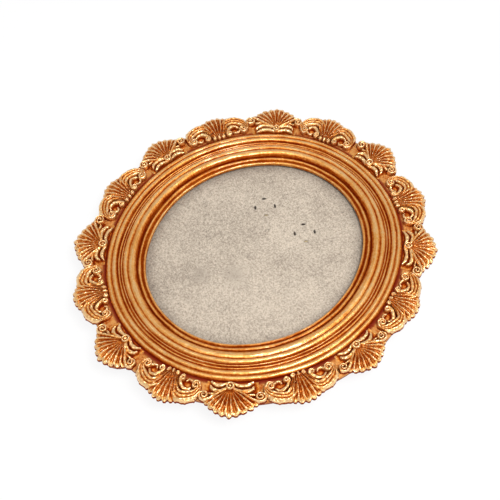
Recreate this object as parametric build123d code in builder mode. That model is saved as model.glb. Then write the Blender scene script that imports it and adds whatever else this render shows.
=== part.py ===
from build123d import *
import os
from math import atan2, cos, degrees, radians, sin

# An oval picture frame, lying on its back: +Z is the front, +Y the top of the picture, and the
# origin is under the middle of the oval, where the heads of the button screws touch the table.
# All lengths are in millimetres. A value whose name ends in share is a share of another size.

# Oval of the sight edge, the inner edge of the moulding, drawn with four arcs
sight_length = 80.0
sight_width = 70.0
end_radius_share = 0.914

# Moulding: a low relief of beads and rounds in front of a rebate for the picture
moulding_width = 13.6
relief_height = 3.2
lip_width = 4.0
# Front of the moulding from the sight edge outwards, as shares of its width and of its relief.
# One point is a straight run to it, two points are a round over the first to the second.
front_shares = (
    ((0.000, 0.22),),
    ((0.037, 0.37), (0.074, 0.23)),
    ((0.100, 0.30),),
    ((0.150, 0.50), (0.205, 0.30)),
    ((0.221, 0.30),),
    ((0.350, 0.98), (0.490, 0.84)),
    ((0.520, 0.96),),
    ((0.615, 0.57),),
    ((0.665, 0.75),),
    ((0.706, 0.58),),
    ((0.779, 0.88), (0.853, 0.60)),
    ((0.900, 0.74),),
    ((1.000, 0.72),),
)

# Flange behind the ornaments: a band with one lobe behind each ornament
flange_front_share = 0.47
flange_thickness = 2.4
flange_reach = 6.3
flange_root = 1.0
lobe_overhang = 0.7

# Ornaments: palmettes and cartouches take turns around the oval. They are stretched with it,
# so they are taller at its ends and wider along its sides.
ornament_count = 16
ornament_round_sides = 8
palmette_reach_end = 13.4
palmette_reach_side = 11.5
palmette_width_share = 0.88
palmette_lobe_share = 0.42
cartouche_reach_end = 12.2
cartouche_reach_side = 10.6
cartouche_width_share = 1.06
cartouche_lobe_share = 0.36

# Palmette: a fan of ribs on a boss, with a volute at each lower corner and leaves below
fan_height = 2.3
fan_slope_share = 0.42
fan_rib_count = 9
fan_half_angle = 66.0
fan_side_share = 0.91
fan_notch_share = 0.93
fan_flute_depth = 1.0
fan_flute_share = 0.55
fan_root_share = 0.22
boss_radius = 1.35
boss_height = 2.7
boss_place_share = 0.15
volute_radius = 1.45
volute_height = 1.8
volute_place_share = (0.85, 0.42)
# Each leaf as its root, the widest place of its upper edge, its tip, and that of its lower edge
leaf_height = 1.3
leaf_shares = (
    ((0.05, 0.17), (0.34, 0.36), (0.64, 0.24), (0.34, 0.23)),
    ((0.05, 0.10), (0.36, 0.19), (0.68, 0.08), (0.36, 0.06)),
)

# Cartouche: a narrow fluted fan between two leafy scrolls, on a thin ground
ground_thickness = 0.6
ground_shares = ((0.20, 0.03), (0.80, 0.06), (0.88, 0.30), (0.60, 0.62), (0.10, 0.70))
lotus_height = 2.1
lotus_rib_count = 5
lotus_half_angle = 17.0
lotus_centre_share = 0.22
lotus_foot_share = 0.06
lotus_side_share = 0.94
lotus_notch_share = 0.95
lotus_flute_depth = 0.7
lotus_flute_share = 0.5
# Each scroll as start, middle and tip of its upper edge, then the middle of its lower edge
scroll_height = 1.5
scroll_shares = ((0.08, 0.16), (0.50, 0.82), (0.94, 0.36), (0.55, 0.60))
# Each curl as its place across, its place outwards, and its radius
curl_height = 1.9
curl_shares = ((0.84, 0.27, 0.120), (0.34, 0.20, 0.090))

# Picture space behind the lip: a clear sheet, then the backing board, flush with the rim's back
glazing_thickness = 1.0
board_thickness = 2.2
rebate_clearance = 0.4

# Turn buttons and their screws, which the frame lies on
button_count = 4
screw_edge = 5.0
button_place = moulding_width - screw_edge
button_reach = 9.5
button_tip_radius = 2.2
button_end_radius = 3.0
button_thickness = 1.8
button_gap = 0.1
screw_radius = 1.1
screw_head_radius = 2.6
screw_head_height = 2.2
screw_depth = 3.4

# Easel: a strut hinged to the board, turned a little on the board as its rivets are in front
easel_turn = 11.0
rivet_spacing = 18.0
rivet_place = 17.0
rivet_head_radius = 4.6
rivet_head_thickness = 0.6
prong_count = 4
prong_circle_radius = 3.6
prong_width = 1.2
prong_thickness = 0.5
prong_sink = 0.05
leaf_thickness = 0.6
leaf_margin = 0.8
leaf_corner_radius = 1.5
pin_drop = 8.0
pin_radius = 0.6
knuckle_radius = 1.3
knuckle_gap = 0.2
middle_knuckle_length = 10.4
easel_gap = 0.1
strut_thickness = 2.0
strut_length = 67.0
strut_top_width = 16.0
strut_foot_width = 23.0
strut_corner_radius = 3.0
strut_top_gap = 0.4
strut_leaf_length = 15.0
strut_rivet_count = 2
strut_rivet_first = 5.0
strut_rivet_pitch = 6.5
strut_rivet_radius = 1.4
strut_rivet_head_radius = 2.3
strut_rivet_head_thickness = 0.5

# Hanger: a flat plate with a screw hole and a nail hole, behind the top ornament
hanger_place = moulding_width - screw_edge
hanger_thickness = 1.2
hanger_width = 9.2
hanger_hole_pitch = 10.5
nail_hole_radius = 2.5
hanger_head_height = 1.6

# Clearance around a turning shaft and around a fixed one, and how far a cut runs past a face
running_clearance = 0.07
fixed_clearance = 0.05
overrun = 1.0

# Levels above the table, from the screw heads up to the flange
back_level = screw_head_height + button_thickness + 2 * button_gap
board_front = back_level + board_thickness
lip_back = board_front + glazing_thickness
flange_front = lip_back + flange_front_share * relief_height
flange_back = flange_front - flange_thickness
button_front = back_level - button_gap
strut_front = back_level - easel_gap
strut_back = strut_front - strut_thickness
strut_leaf_back = strut_back - leaf_thickness
board_leaf_back = back_level - leaf_thickness
hanger_back = back_level - hanger_thickness
screw_tip = back_level + screw_depth

# Places of the easel's parts on its own plane, where +Y runs up the board
easel_x = Vector(cos(radians(easel_turn)), sin(radians(easel_turn)), 0)
easel_y = Vector(-sin(radians(easel_turn)), cos(radians(easel_turn)), 0)
pin_place = rivet_place - pin_drop
pin_level = strut_front - knuckle_radius
board_leaf_top = rivet_place + rivet_head_radius + leaf_margin
board_leaf_width = rivet_spacing + 2 * (rivet_head_radius + leaf_margin)
side_knuckle_length = (board_leaf_width - middle_knuckle_length) / 2 - knuckle_gap
strut_top = pin_place - knuckle_radius - strut_top_gap
strut_foot = strut_top - strut_length
strut_rivet_top = pin_place - strut_rivet_first
strut_rivet_places = [(0, strut_rivet_top - i * strut_rivet_pitch) for i in range(strut_rivet_count)]
rivet_places = [(-rivet_spacing / 2, rivet_place), (rivet_spacing / 2, rivet_place)]

# The four arcs of the sight edge: centre, radius, start angle and span, anticlockwise from +X
half_length = sight_length / 2
half_width = sight_width / 2
end_radius = end_radius_share * half_width
end_centre = half_length - end_radius
side_radius = (end_centre**2 + half_width**2 - end_radius**2) / (2 * (half_width - end_radius))
side_centre = side_radius - half_width
end_half_span = degrees(atan2(side_centre, end_centre))
side_half_span = 90 - end_half_span
oval_arcs = (
    (0, end_centre, end_radius, 90 - end_half_span, 2 * end_half_span),
    (side_centre, 0, side_radius, 180 - side_half_span, 2 * side_half_span),
    (0, -end_centre, end_radius, 270 - end_half_span, 2 * end_half_span),
    (-side_centre, 0, side_radius, 360 - side_half_span, 2 * side_half_span),
)


def oval_line(offset):
    """Draw the oval at a distance outside the sight edge, in the line that is open."""
    for x, y, radius, start, span in oval_arcs:
        CenterArc((x, y), radius + offset, start, span)


def oval_point(angle, offset):
    """Point of the oval where its outward normal stands at an angle from +X."""
    for x, y, radius, start, span in oval_arcs:
        if (angle - start) % 360 <= span:
            reach = radius + offset
            return Vector(x + reach * cos(radians(angle)), y + reach * sin(radians(angle)))


def oval_plane(angle, offset, level):
    """Plane on the oval at a level, with +X along the oval and +Y outwards."""
    point = oval_point(angle, offset)
    along = Vector(sin(radians(angle)), -cos(radians(angle)), 0)
    return Plane(origin=(point.X, point.Y, level), x_dir=along, z_dir=(0, 0, 1))


def section_plane(x, y, start):
    """Upright plane through the centre of one arc, with +X along its radius and +Y up."""
    radial = Vector(cos(radians(start)), sin(radians(start)), 0)
    return Plane(origin=(x, y, 0), x_dir=radial, z_dir=radial.cross(Vector(0, 0, 1)))


def easel_plane(level):
    """Plane of the easel at a level, with +Y up the board."""
    return Plane(origin=(0, 0, level), x_dir=easel_x, z_dir=(0, 0, 1))


def pin_plane(along):
    """Plane across the hinge pin, at a distance along it from its middle."""
    middle = easel_x * along + easel_y * pin_place
    return Plane(origin=(middle.X, middle.Y, pin_level), x_dir=easel_y, z_dir=easel_x)


def button_angle(index):
    return (index + 0.5) * 360 / button_count


def ornament_angle(index):
    """Direction that the oval faces at one ornament, in even steps round an ellipse at the tips."""
    step = radians(90 + index * 360 / ornament_count)
    tip_offset = moulding_width + palmette_reach_end
    across = (half_width + tip_offset) * sin(step)
    along = (half_length + tip_offset) * cos(step)
    return degrees(atan2(across, along))


def ornament_pitch(index):
    """Room along the flange for one ornament: half the way between its two neighbours."""
    before = oval_point(ornament_angle(index - 1), moulding_width + flange_reach)
    after = oval_point(ornament_angle(index + 1), moulding_width + flange_reach)
    return (after - before).length / 2


def ornament_reach(index, at_end, at_side):
    """Height of an ornament, between its heights at the ends and at the sides of the oval."""
    return at_side + (at_end - at_side) * sin(radians(ornament_angle(index))) ** 2


def palmette_size(index):
    reach = ornament_reach(index, palmette_reach_end, palmette_reach_side)
    return palmette_width_share * ornament_pitch(index), reach


def cartouche_size(index):
    reach = ornament_reach(index, cartouche_reach_end, cartouche_reach_side)
    return cartouche_width_share * ornament_pitch(index), reach


def front_line(radius):
    """Draw the section of the moulding for one arc of the oval, in the line that is open."""
    here = (radius, lip_back)
    for shares in front_shares:
        points = [(radius + a * moulding_width, lip_back + b * relief_height) for a, b in shares]
        if len(points) == 1:
            Line(here, points[0])
        else:
            ThreePointArc(here, points[0], points[1])
        here = points[-1]
    Polyline(
        here,
        (radius + moulding_width, back_level),
        (radius + lip_width, back_level),
        (radius + lip_width, lip_back),
        (radius, lip_back),
    )


def fan_point(centre, radius, angle):
    """Point of a fan at an angle from its middle rib."""
    return (radius * sin(radians(angle)), centre + radius * cos(radians(angle)))


def fan_notches(half_angle, rib_count):
    """Angles of the notches between the ribs of a fan, with its two ends."""
    return [2 * half_angle * i / rib_count - half_angle for i in range(rib_count + 1)]


def fan_line(centre, root, middle_length, side_length, notches, notch_share):
    """Draw the scalloped outline of a fan, in the line that is open."""
    points = [fan_point(centre, root, notches[-1]), fan_point(centre, root, notches[0])]

    def add_point(share, angle):
        rim = middle_length + (side_length - middle_length) * (angle / notches[-1]) ** 2
        points.append(fan_point(centre, share * rim, angle))

    for left, right in zip(notches, notches[1:]):
        add_point(notch_share, left)
        add_point(1, (left + right) / 2)
    add_point(notch_share, notches[-1])
    Polyline(*points, close=True)


def flute_plane(seat, centre, radius, angle, level):
    """Upright plane across a flute of a fan, with +X across the flute and +Y up."""
    across = seat.x_dir * cos(radians(angle)) - seat.y_dir * sin(radians(angle))
    x, y = fan_point(centre, radius, angle)
    return Plane(origin=seat.from_local_coords((x, y, level)), x_dir=across, z_dir=across.cross(seat.z_dir))


def flute_line(width, depth):
    """Draw the V of a flute, which runs up past the top of the fan, in the line that is open."""
    mouth = width / 2 * (1 + overrun / depth)
    Polyline((0, -depth), (mouth, overrun), (-mouth, overrun), close=True)


def make_palmette(index):
    """Shell of fluted ribs that spread from a boss and fall towards their tips."""
    width, reach = palmette_size(index)
    half_wide = width / 2
    seat = oval_plane(ornament_angle(index), moulding_width, flange_front)
    centre = boss_place_share * reach
    length = reach - centre
    side_length = fan_side_share * half_wide / sin(radians(fan_half_angle))
    notches = fan_notches(fan_half_angle, fan_rib_count)
    flute_width = fan_flute_share * length * radians(notches[1] - notches[0])
    crown = Plane(
        origin=seat.from_local_coords((0, centre, fan_height)),
        x_dir=seat.x_dir,
        z_dir=seat.z_dir + seat.y_dir * (fan_slope_share * fan_height / length),
    )
    volute_across = volute_place_share[0] * half_wide
    volute_out = volute_place_share[1] * reach
    with BuildPart() as palmette:
        with BuildSketch(seat):
            with BuildLine():
                fan_line(centre, boss_radius / 2, length, side_length, notches, fan_notch_share)
            make_face()
        extrude(amount=fan_height)
        split(bisect_by=crown, keep=Keep.BOTTOM)
        for angle in notches[1:-1]:
            for share in (fan_root_share, 1 + fan_root_share):
                level = fan_height * (1 - fan_slope_share * share * cos(radians(angle)))
                with BuildSketch(flute_plane(seat, centre, share * length, angle, level)):
                    with BuildLine():
                        flute_line(share * flute_width, share * fan_flute_depth)
                    make_face()
            loft(ruled=True, mode=Mode.SUBTRACT)
        with BuildSketch(seat):
            for shares in leaf_shares:
                for side in (half_wide, -half_wide):
                    with BuildLine():
                        Polyline(*[(a * side, b * reach) for a, b in shares], close=True)
                    make_face()
        extrude(amount=leaf_height)
        with BuildSketch(seat):
            with Locations((volute_across, volute_out), (-volute_across, volute_out)):
                RegularPolygon(volute_radius, ornament_round_sides)
        extrude(amount=volute_height)
        with BuildSketch(seat):
            with Locations((0, centre)):
                RegularPolygon(boss_radius, ornament_round_sides)
        extrude(amount=boss_height)
    return palmette


def make_cartouche(index):
    """Narrow fluted fan between two scrolls that end in curls."""
    width, reach = cartouche_size(index)
    half_wide = width / 2
    seat = oval_plane(ornament_angle(index), moulding_width, flange_front)
    centre = -lotus_centre_share * reach
    root = (lotus_centre_share + lotus_foot_share) * reach
    length = reach - centre
    notches = fan_notches(lotus_half_angle, lotus_rib_count)
    flute_width = lotus_flute_share * length * radians(notches[1] - notches[0])
    ground_right = [(a * half_wide, b * reach) for a, b in ground_shares]
    ground_left = [(-x, y) for x, y in reversed(ground_right)]
    with BuildPart() as cartouche:
        with BuildSketch(seat):
            with BuildLine():
                Polyline(*ground_right, *ground_left, close=True)
            make_face()
        extrude(amount=ground_thickness)
        with BuildSketch(seat):
            with BuildLine():
                fan_line(centre, root, length, lotus_side_share * length, notches, lotus_notch_share)
            make_face()
        extrude(amount=lotus_height)
        for angle in notches[1:-1]:
            for share in (root / length, 1 + root / length):
                with BuildSketch(flute_plane(seat, centre, share * length, angle, lotus_height)):
                    with BuildLine():
                        flute_line(share * flute_width, share * lotus_flute_depth)
                    make_face()
            loft(ruled=True, mode=Mode.SUBTRACT)
        with BuildSketch(seat):
            for side in (half_wide, -half_wide):
                start, upper, tip, lower = [(a * side, b * reach) for a, b in scroll_shares]
                with BuildLine():
                    ThreePointArc(start, upper, tip)
                    ThreePointArc(tip, lower, start)
                make_face()
        extrude(amount=scroll_height)
        with BuildSketch(seat):
            for across, outward, round_share in curl_shares:
                x = across * half_wide
                y = outward * reach
                with Locations((x, y), (-x, y)):
                    RegularPolygon(round_share * half_wide, ornament_round_sides)
        extrude(amount=curl_height)
    return cartouche


def make_button(index):
    """Turn button whose arm lies over the edge of the board."""
    seat = oval_plane(button_angle(index), button_place, button_front)
    with BuildPart() as button:
        with BuildSketch(seat):
            Circle(button_end_radius)
            with Locations((0, button_tip_radius - button_reach)):
                Circle(button_tip_radius)
            make_hull()
            Circle(screw_radius + running_clearance, mode=Mode.SUBTRACT)
        extrude(amount=-button_thickness)
    return button


def save(piece, name):
    """Label a finished piece and write it."""
    piece.part.label = name
    export_step(piece.part, f"parts/{name}.step")


os.makedirs("parts", exist_ok=True)
hanger_point = oval_point(90, hanger_place)
button_points = [oval_point(button_angle(index), button_place) for index in range(button_count)]

# Moulding, rebate and scalloped flange in one casting
with BuildPart() as frame_moulding:
    for x, y, radius, start, span in oval_arcs:
        with BuildSketch(section_plane(x, y, start)):
            with BuildLine():
                front_line(radius)
            make_face()
        revolve(axis=Axis((x, y, 0), (0, 0, 1)), revolution_arc=span)
    with BuildSketch(Plane.XY.offset(flange_back)):
        with BuildLine():
            oval_line(moulding_width + flange_reach)
        make_face()
        for index in range(ornament_count):
            if index % 2 == 0:
                width, reach = palmette_size(index)
                lobe_radius = palmette_lobe_share * width
            else:
                width, reach = cartouche_size(index)
                lobe_radius = cartouche_lobe_share * width
            lobe_place = moulding_width + reach - lobe_overhang - lobe_radius
            with Locations(oval_point(ornament_angle(index), lobe_place)):
                Circle(lobe_radius)
        with BuildLine():
            oval_line(moulding_width - flange_root)
        make_face(mode=Mode.SUBTRACT)
    extrude(amount=flange_thickness)
    with BuildSketch(Plane.XY.offset(back_level)):
        with Locations(hanger_point, *button_points):
            Circle(screw_radius + fixed_clearance)
    extrude(amount=screw_depth + fixed_clearance, mode=Mode.SUBTRACT)
save(frame_moulding, "frame_moulding")

# Ornaments, numbered anticlockwise from the top
for index in range(ornament_count):
    number = index // 2 + 1
    if index % 2 == 0:
        save(make_palmette(index), f"palmette_{number}")
    else:
        save(make_cartouche(index), f"cartouche_{number}")

# Clear sheet behind the lip
with BuildPart() as glazing_sheet:
    with BuildSketch(Plane.XY.offset(board_front)):
        with BuildLine():
            oval_line(lip_width - rebate_clearance)
        make_face()
    extrude(amount=glazing_thickness)
save(glazing_sheet, "glazing_sheet")

# Board behind the sheet, pierced by the prongs of the rivets
with BuildPart() as backing_board:
    with BuildSketch(Plane.XY.offset(back_level)):
        with BuildLine():
            oval_line(lip_width - rebate_clearance)
        make_face()
    extrude(amount=board_thickness)
    with BuildSketch(easel_plane(back_level)):
        with Locations(*rivet_places):
            with PolarLocations(prong_circle_radius, prong_count, start_angle=45):
                Rectangle(prong_thickness + 2 * fixed_clearance, prong_width + 2 * fixed_clearance)
    extrude(amount=board_thickness + overrun, mode=Mode.SUBTRACT)
save(backing_board, "backing_board")

# Hinge leaf on the board, with a knuckle at each side
with BuildPart() as board_leaf:
    with BuildSketch(easel_plane(board_leaf_back)) as leaf_outline:
        with Locations((0, (board_leaf_top + pin_place) / 2)):
            Rectangle(board_leaf_width, board_leaf_top - pin_place)
        fillet(leaf_outline.vertices().group_by(Axis.Y)[-1], leaf_corner_radius)
        with Locations((0, pin_place)):
            Rectangle(
                middle_knuckle_length + 2 * knuckle_gap,
                2 * (knuckle_radius + knuckle_gap),
                mode=Mode.SUBTRACT,
            )
        with Locations(*rivet_places):
            with PolarLocations(prong_circle_radius, prong_count, start_angle=45):
                Rectangle(
                    prong_thickness + 2 * fixed_clearance,
                    prong_width + 2 * fixed_clearance,
                    mode=Mode.SUBTRACT,
                )
    extrude(amount=leaf_thickness)
    for along in (-board_leaf_width / 2, board_leaf_width / 2 - side_knuckle_length):
        with BuildSketch(pin_plane(along)):
            Circle(knuckle_radius)
        extrude(amount=side_knuckle_length)
    with BuildSketch(pin_plane(0)):
        Circle(pin_radius + running_clearance)
    extrude(amount=board_leaf_width, both=True, mode=Mode.SUBTRACT)
save(board_leaf, "board_leaf")

# Two rivets through the leaf and the board, each a round head with prongs
with BuildPart() as board_rivets:
    with BuildSketch(easel_plane(board_leaf_back)):
        with Locations(*rivet_places):
            Circle(rivet_head_radius)
    extrude(amount=-rivet_head_thickness)
    with BuildSketch(easel_plane(board_leaf_back)):
        with Locations(*rivet_places):
            with PolarLocations(prong_circle_radius, prong_count, start_angle=45):
                Rectangle(prong_thickness, prong_width)
    extrude(amount=leaf_thickness + board_thickness - prong_sink)
save(board_rivets, "board_rivets")

# Pin of the hinge
with BuildPart() as hinge_pin:
    with BuildSketch(pin_plane(-board_leaf_width / 2)):
        Circle(pin_radius)
    extrude(amount=board_leaf_width)
save(hinge_pin, "hinge_pin")

# Hinge leaf on the back of the strut, with the middle knuckle
with BuildPart() as strut_leaf:
    with BuildSketch(easel_plane(strut_leaf_back)):
        with Locations((0, pin_place - strut_leaf_length / 2)):
            Rectangle(middle_knuckle_length, strut_leaf_length)
        with Locations(*strut_rivet_places):
            Circle(strut_rivet_radius + fixed_clearance, mode=Mode.SUBTRACT)
    extrude(amount=leaf_thickness)
    with BuildSketch(pin_plane(-middle_knuckle_length / 2)):
        Circle(knuckle_radius)
    extrude(amount=middle_knuckle_length)
    with BuildSketch(pin_plane(0)):
        Circle(pin_radius + running_clearance)
    extrude(amount=middle_knuckle_length, both=True, mode=Mode.SUBTRACT)
save(strut_leaf, "strut_leaf")

# Strut of board that the frame leans on
with BuildPart() as easel_strut:
    with BuildSketch(easel_plane(strut_back)) as strut_outline:
        with BuildLine():
            Polyline(
                (-strut_top_width / 2, strut_top),
                (strut_top_width / 2, strut_top),
                (strut_foot_width / 2, strut_foot),
                (-strut_foot_width / 2, strut_foot),
                close=True,
            )
        make_face()
        fillet(strut_outline.vertices(), strut_corner_radius)
        with Locations(*strut_rivet_places):
            Circle(strut_rivet_radius + fixed_clearance, mode=Mode.SUBTRACT)
    extrude(amount=strut_thickness)
save(easel_strut, "easel_strut")

# Rivets through the strut and its leaf
with BuildPart() as strut_rivets:
    with BuildSketch(easel_plane(strut_leaf_back)):
        with Locations(*strut_rivet_places):
            Circle(strut_rivet_head_radius)
    extrude(amount=-strut_rivet_head_thickness)
    with BuildSketch(easel_plane(strut_leaf_back)):
        with Locations(*strut_rivet_places):
            Circle(strut_rivet_radius)
    extrude(amount=leaf_thickness + strut_thickness)
save(strut_rivets, "strut_rivets")

# Turn buttons, numbered anticlockwise from the upper right
for index in range(button_count):
    save(make_button(index), f"turn_button_{index + 1}")

# Screws of the turn buttons, with their heads on the table
with BuildPart() as button_screws:
    with BuildSketch():
        with Locations(*button_points):
            Circle(screw_head_radius)
    extrude(amount=screw_head_height)
    with BuildSketch():
        with Locations(*button_points):
            Circle(screw_radius)
    extrude(amount=screw_tip)
save(button_screws, "button_screws")

# Hanger plate on the rim's back, its nail hole clear of the rim
with BuildPart() as hanger_plate:
    with BuildSketch(Plane.XY.offset(hanger_back)):
        with Locations((hanger_point.X, hanger_point.Y + hanger_hole_pitch / 2)):
            SlotCenterToCenter(hanger_hole_pitch, hanger_width, rotation=90)
        with Locations(hanger_point):
            Circle(screw_radius + fixed_clearance, mode=Mode.SUBTRACT)
        with Locations((hanger_point.X, hanger_point.Y + hanger_hole_pitch)):
            Circle(nail_hole_radius, mode=Mode.SUBTRACT)
    extrude(amount=hanger_thickness)
save(hanger_plate, "hanger_plate")

# Screw of the hanger plate
with BuildPart() as hanger_screw:
    with BuildSketch(Plane.XY.offset(hanger_back)):
        with Locations(hanger_point):
            Circle(screw_head_radius)
    extrude(amount=-hanger_head_height)
    with BuildSketch(Plane.XY.offset(hanger_back)):
        with Locations(hanger_point):
            Circle(screw_radius)
    extrude(amount=screw_tip - hanger_back)
save(hanger_screw, "hanger_screw")
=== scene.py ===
import math

import bmesh
import bpy
import numpy as np
from bpy.props import FloatProperty, FloatVectorProperty, PointerProperty
from mathutils import Matrix, Vector


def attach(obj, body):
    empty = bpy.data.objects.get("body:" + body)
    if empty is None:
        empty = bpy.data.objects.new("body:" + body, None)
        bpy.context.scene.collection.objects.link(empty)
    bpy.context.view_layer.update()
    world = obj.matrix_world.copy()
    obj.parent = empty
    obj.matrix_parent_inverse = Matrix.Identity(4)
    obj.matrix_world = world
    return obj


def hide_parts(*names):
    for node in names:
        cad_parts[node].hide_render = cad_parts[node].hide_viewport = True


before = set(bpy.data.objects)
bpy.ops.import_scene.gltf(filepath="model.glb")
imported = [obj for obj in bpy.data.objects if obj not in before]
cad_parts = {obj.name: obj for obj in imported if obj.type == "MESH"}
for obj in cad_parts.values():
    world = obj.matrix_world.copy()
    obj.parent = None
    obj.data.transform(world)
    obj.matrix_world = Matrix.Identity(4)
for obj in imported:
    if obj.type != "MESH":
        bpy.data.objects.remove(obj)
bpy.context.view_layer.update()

bl_info = {
    "name": "Gilt oval picture frame",
    "version": (1, 0, 0),
    "blender": (4, 5, 0),
    "location": "3D View > Sidebar > Oval frame",
    "description": "Dresses the packed oval frame with its carving, gilding, board and fittings",
    "category": "Object",
}

MM = 0.001
NEAR = 1e-6

# The oval of the sight edge, in millimetres: four arcs that meet where the edge faces JOIN
HALF_LENGTH = 40.0
HALF_WIDTH = 35.0
END_RADIUS = 0.914 * HALF_WIDTH
END_CENTRE = HALF_LENGTH - END_RADIUS
SIDE_RADIUS = (END_CENTRE**2 + HALF_WIDTH**2 - END_RADIUS**2) / (2 * (HALF_WIDTH - END_RADIUS))
SIDE_CENTRE = SIDE_RADIUS - HALF_WIDTH
JOIN = math.atan2(END_CENTRE, SIDE_CENTRE)
ARCS = (
    (-SIDE_CENTRE, 0.0, SIDE_RADIUS, -JOIN, JOIN),
    (0.0, END_CENTRE, END_RADIUS, JOIN, math.pi - JOIN),
    (SIDE_CENTRE, 0.0, SIDE_RADIUS, math.pi - JOIN, math.pi + JOIN),
    (0.0, -END_CENTRE, END_RADIUS, math.pi + JOIN, 2 * math.pi - JOIN),
)

# Levels above the floor and offsets outside the sight edge, in millimetres
BACK = 4.2
BOARD_FRONT = 6.4
LIP_BACK = 7.4
FLANGE_BACK = 6.504
FLANGE_FRONT = 8.904
LIP = 4.0
EDGE = 13.6
FLANGE_REACH = 6.3
FLANGE_ROUND = 0.3

# Lobes of the flange: how far short of the ornament's tip, radius as a share of the ornament's width,
# and how far the notches between them are filled
LOBE_SHORT = 1.5
LOBE_SHARES = (0.40, 0.34)
NOTCH_FILL = 1.0

# Mesh of the moulding: steps of the arcs in its section, steps round the oval, longest straight run
# that is left whole, levels above which its front is wavered and smoothed, and a hair's breadth
SECTION_STEP = 0.16
OVAL_STEP = 0.72
LONGEST_RUN = 0.3
WAVERED_ABOVE, SMOOTHED_ABOVE = 8.0, 8.2
HAIR = 0.05

# Brushed grain of the moulding: with these scales a streak is about 12 mm long and 0.3 mm wide
GRAIN_SCALE = 2.4
GRAIN_ROUND = 1.6
GRAIN_ACROSS = 1.4

# Front of the moulding: a pair is the end of a straight run, two pairs are an arc through the first
FRONT = (
    ((0.00, 8.10),),
    ((0.50, 8.60), (1.01, 8.12)),
    ((1.36, 8.34),),
    ((2.04, 9.02), (2.79, 8.34)),
    ((3.00, 8.70),),
    ((4.20, 10.22), (5.55, 10.06)),
    ((5.80, 9.94),),
    ((6.75, 10.36), (7.66, 9.70)),
    ((7.84, 9.50),),
    ((8.12, 9.84),),
    ((8.38, 9.50),),
    ((8.64, 9.16),),
    ((9.06, 9.70),),
    ((9.62, 9.20),),
    ((10.60, 10.24), (11.66, 9.66)),
    ((12.45, 10.02), (13.20, 9.70)),
    ((EDGE, 9.40),),
)

# How far the dark wash is left on the moulding, by offset: 0 is rubbed bright, 1 is full wash. From
# the outer edge on it is wash pooled against the moulding's outer wall together with painted shade of
# that wall, on the wall and the flange beside it
WEAR = (
    (0.0, 0.60), (0.3, 0.30), (0.6, 0.60), (1.2, 0.90), (1.6, 0.70), (2.0, 0.34), (2.3, 0.62),
    (2.9, 0.96), (3.4, 0.70), (4.0, 0.38), (4.9, 0.28), (5.5, 0.52), (5.8, 0.88), (6.1, 0.55),
    (6.6, 0.22), (7.1, 0.36), (7.5, 0.70), (7.8, 0.92), (8.12, 0.26), (8.4, 0.80), (8.65, 0.94),
    (9.06, 0.32), (9.3, 0.70), (9.6, 0.94), (10.1, 0.50), (10.7, 0.20), (11.2, 0.48),
    (11.66, 0.86), (12.1, 0.46), (12.45, 0.24), (12.9, 0.46),
    # Wash pooled against the moulding's outer wall, and painted shade of that wall
    (EDGE, 1.0), (EDGE + 0.7, 0.8), (EDGE + 1.5, 0.0),
)

# Sixteen ornaments: palmettes and cartouches in turn, drawn at one size and stretched to each place
ORNAMENTS = 16
PALMETTE_HALF, PALMETTE_TALL = 9.6, 12.4
CARTOUCHE_HALF, CARTOUCHE_TALL = 12.0, 11.4
PALMETTE_SHARE, CARTOUCHE_SHARE = 0.88, 1.06
PALMETTE_REACHES = (13.4, 11.5)
CARTOUCHE_REACHES = (12.2, 10.6)

# Drawing of the carving: blank margin, level of its hidden edge, widening of its ridges, its start
# off the moulding, reach of the mesh where nothing is drawn, fineness of the drawing and of the mesh
MARGIN = 0.3
SUNK = -0.3
FULLNESS = 1.2
FOOT = 0.05
BARE_REACH = 0.4
NET = 0.06
CELL = 0.14

# Wash on the carving: on open slopes, painted shade on the outer rim, how far around a hollow is
# looked for, and the depth of hollow that adds a full wash
SLOPE_WASH = 0.52
PAINTED_RIM_SHADE = 0.85
HOLLOW_REACHES = (0.3, 0.6, 0.9)
FULL_HOLLOW = 0.75

# Fittings: rounding of the sheet, the board and the strut, the turn in degrees from which an edge is
# rounded, air round the sheet, slots in the screws
SHEET_EDGE = 0.1
STRUT_EDGE = 0.4
SHARP_TURN = 40
SHEET_GAP = 0.03
SCREW_SLOT_WIDE, SCREW_SLOT_DEEP = 0.7, 0.5
BUTTONS = 4

# Smudges on the board: x, y and radius
SMUDGES = ((2.9, -11.8, 6.5), (-5.0, -21.0, 5.0))

# Dark mark round each prong's end in metres, along and across the way that it faces: painted shade of
# the slit that the prong cuts in the board. One prong of each rivet, on the side towards the camera,
# has only a pale mark
SLIT_SHADE_MARK = (0.55 * MM, 1.15 * MM, 1.0 * MM)
TOWARDS_CAMERA = Vector((0.76, -0.65, 0.0))
TOWARDS_CAMERA_WITHIN = 0.7
PALE_MARK = 0.35
PRONG_WIDE, RIVET_WIDE = 2 * MM, 9 * MM

# Stage, in metres: floor, lamp and the camera that stands where the photo was taken
FLOOR_HALF = 4.0
FLOOR_GLOW = 0.88
LAMP_WIDE = 0.22
LAMP_PLACE = Vector((0.361, 0.034, 0.93)) * 0.62
CAMERA_AZIMUTH, CAMERA_ELEVATION = math.radians(49.5), math.radians(57.8)
CAMERA_AWAY = 0.2936
CAMERA_TARGET = Vector((0, 0, 9.7 * MM))
CAMERA_LENS, CAMERA_SENSOR = 60.5, 36.0
CAMERA_SHIFT = (-0.0108, -0.0082)
CAMERA_CLIP = 5 * MM


def linear(code):
    """An sRGB hex colour as linear RGBA."""
    parts = [int(code[i : i + 2], 16) / 255 for i in (1, 3, 5)]
    return [p / 12.92 if p <= 0.04045 else ((p + 0.055) / 1.055) ** 2.4 for p in parts] + [1.0]


def colour(code, name, description):
    return FloatVectorProperty(
        name=name,
        description=description,
        default=linear(code),
        size=4,
        min=0,
        max=1,
        subtype="COLOR",
    )


def length(millimetres, name, description):
    return FloatProperty(
        name=name,
        description=description,
        default=millimetres * MM,
        subtype="DISTANCE",
        unit="LENGTH",
    )


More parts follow.
